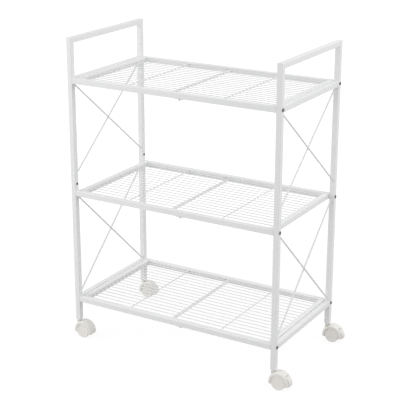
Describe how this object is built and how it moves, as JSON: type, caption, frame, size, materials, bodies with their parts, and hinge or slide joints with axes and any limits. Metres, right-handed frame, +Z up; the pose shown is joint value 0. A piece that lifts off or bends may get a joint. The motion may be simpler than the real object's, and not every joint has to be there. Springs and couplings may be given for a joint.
{
  "type": "rolling utility cart",
  "caption": "Tiered rolling utility cart: square-tube end frames with handles and cross braces, wire-bottom shelves and swivelling twin-wheel casters, some with brakes.",
  "frame": {"origin": "on the floor, at the centre of the cart's footprint, brake levers and bolt heads included", "axes": "+Z up, +X along the shelves from the left end frame to the right one, whose casters have the brakes; +Y from the front to the rear, across the shelves"},
  "size_m": [0.6866, 0.363, 0.862],
  "materials": {
    "white_powder_coat": "satin white powder coat",
    "dark_zinc_steel": "dull zinc, darkened",
    "zinc_steel": "dull zinc",
    "ivory_plastic": "satin moulded",
    "white_plastic": "satin moulded"
  },
  "bodies": {
    "frame": {"bottom_shelf_front_rail": "white_powder_coat", "bottom_shelf_left_rail": "white_powder_coat", "bottom_shelf_rear_rail": "white_powder_coat", "bottom_shelf_right_rail": "white_powder_coat", "bottom_wire_deck": "white_powder_coat", "frame_bolts": "dark_zinc_steel", "left_bottom_side_rail": "white_powder_coat", "left_front_caster_stem": "zinc_steel", "left_front_lower_post": "white_powder_coat", "left_lower_brace": "white_powder_coat", "left_rear_caster_stem": "zinc_steel", "left_rear_lower_post": "white_powder_coat", "left_top_side_rail": "white_powder_coat", "left_upper_brace": "white_powder_coat", "left_upper_frame": "white_powder_coat", "middle_shelf_front_rail": "white_powder_coat", "middle_shelf_left_rail": "white_powder_coat", "middle_shelf_rear_rail": "white_powder_coat", "middle_shelf_right_rail": "white_powder_coat", "middle_wire_deck": "white_powder_coat", "post_plugs": "white_plastic", "rail_clips": "white_plastic", "rail_end_nuts": "zinc_steel", "right_bottom_side_rail": "white_powder_coat", "right_front_caster_stem": "zinc_steel", "right_front_lower_post": "white_powder_coat", "right_lower_brace": "white_powder_coat", "right_rear_caster_stem": "zinc_steel", "right_rear_lower_post": "white_powder_coat", "right_top_side_rail": "white_powder_coat", "right_upper_brace": "white_powder_coat", "right_upper_frame": "white_powder_coat", "splice_inserts": "white_powder_coat", "splice_screws": "dark_zinc_steel", "top_shelf_front_rail": "white_powder_coat", "top_shelf_left_rail": "white_powder_coat", "top_shelf_rear_rail": "white_powder_coat", "top_shelf_right_rail": "white_powder_coat", "top_wire_deck": "white_powder_coat"},
    "left_front_caster": {"left_front_caster_axle": "zinc_steel", "left_front_caster_hood": "ivory_plastic"},
    "left_front_caster_front_wheel": {"left_front_caster_front_wheel": "ivory_plastic"},
    "left_front_caster_rear_wheel": {"left_front_caster_rear_wheel": "ivory_plastic"},
    "left_rear_caster": {"left_rear_caster_axle": "zinc_steel", "left_rear_caster_hood": "ivory_plastic"},
    "left_rear_caster_front_wheel": {"left_rear_caster_front_wheel": "ivory_plastic"},
    "left_rear_caster_rear_wheel": {"left_rear_caster_rear_wheel": "ivory_plastic"},
    "right_front_brake_lever": {"right_front_brake_lever": "ivory_plastic"},
    "right_front_caster": {"right_front_caster_axle": "zinc_steel", "right_front_caster_hood": "ivory_plastic"},
    "right_front_caster_front_wheel": {"right_front_caster_front_wheel": "ivory_plastic"},
    "right_front_caster_rear_wheel": {"right_front_caster_rear_wheel": "ivory_plastic"},
    "right_rear_brake_lever": {"right_rear_brake_lever": "ivory_plastic"},
    "right_rear_caster": {"right_rear_caster_axle": "zinc_steel", "right_rear_caster_hood": "ivory_plastic"},
    "right_rear_caster_front_wheel": {"right_rear_caster_front_wheel": "ivory_plastic"},
    "right_rear_caster_rear_wheel": {"right_rear_caster_rear_wheel": "ivory_plastic"}
  },
  "joints": [
    {"name": "left_front_swivel", "type": "hinge", "parent": "frame", "child": "left_front_caster", "pos_m": [-0.3332, -0.1675, 0.034], "axis": [0, 0, 1], "continuous": true},
    {"name": "left_front_front_wheel_spin", "type": "hinge", "parent": "left_front_caster", "child": "left_front_caster_front_wheel", "pos_m": [-0.3147, -0.1675, 0.02], "axis": [0, 1, 0], "continuous": true},
    {"name": "left_front_rear_wheel_spin", "type": "hinge", "parent": "left_front_caster", "child": "left_front_caster_rear_wheel", "pos_m": [-0.3147, -0.1675, 0.02], "axis": [0, 1, 0], "continuous": true},
    {"name": "left_rear_swivel", "type": "hinge", "parent": "frame", "child": "left_rear_caster", "pos_m": [-0.3332, 0.1675, 0.034], "axis": [0, 0, 1], "continuous": true},
    {"name": "left_rear_front_wheel_spin", "type": "hinge", "parent": "left_rear_caster", "child": "left_rear_caster_front_wheel", "pos_m": [-0.3147, 0.1675, 0.02], "axis": [0, 1, 0], "continuous": true},
    {"name": "left_rear_rear_wheel_spin", "type": "hinge", "parent": "left_rear_caster", "child": "left_rear_caster_rear_wheel", "pos_m": [-0.3147, 0.1675, 0.02], "axis": [0, 1, 0], "continuous": true},
    {"name": "right_front_swivel", "type": "hinge", "parent": "frame", "child": "right_front_caster", "pos_m": [0.2918, -0.1675, 0.034], "axis": [0, 0, 1], "continuous": true},
    {"name": "right_front_front_wheel_spin", "type": "hinge", "parent": "right_front_caster", "child": "right_front_caster_front_wheel", "pos_m": [0.3103, -0.1675, 0.02], "axis": [0, 1, 0], "continuous": true},
    {"name": "right_front_rear_wheel_spin", "type": "hinge", "parent": "right_front_caster", "child": "right_front_caster_rear_wheel", "pos_m": [0.3103, -0.1675, 0.02], "axis": [0, 1, 0], "continuous": true},
    {"name": "right_front_brake_press", "type": "hinge", "parent": "right_front_caster", "child": "right_front_brake_lever", "pos_m": [0.33176, -0.1675, 0.03341], "axis": [0, 1, 0], "range_deg": [0, 10]},
    {"name": "right_rear_swivel", "type": "hinge", "parent": "frame", "child": "right_rear_caster", "pos_m": [0.2918, 0.1675, 0.034], "axis": [0, 0, 1], "continuous": true},
    {"name": "right_rear_front_wheel_spin", "type": "hinge", "parent": "right_rear_caster", "child": "right_rear_caster_front_wheel", "pos_m": [0.3103, 0.1675, 0.02], "axis": [0, 1, 0], "continuous": true},
    {"name": "right_rear_rear_wheel_spin", "type": "hinge", "parent": "right_rear_caster", "child": "right_rear_caster_rear_wheel", "pos_m": [0.3103, 0.1675, 0.02], "axis": [0, 1, 0], "continuous": true},
    {"name": "right_rear_brake_press", "type": "hinge", "parent": "right_rear_caster", "child": "right_rear_brake_lever", "pos_m": [0.33176, 0.1675, 0.03341], "axis": [0, 1, 0], "range_deg": [0, 10]}
  ]
}
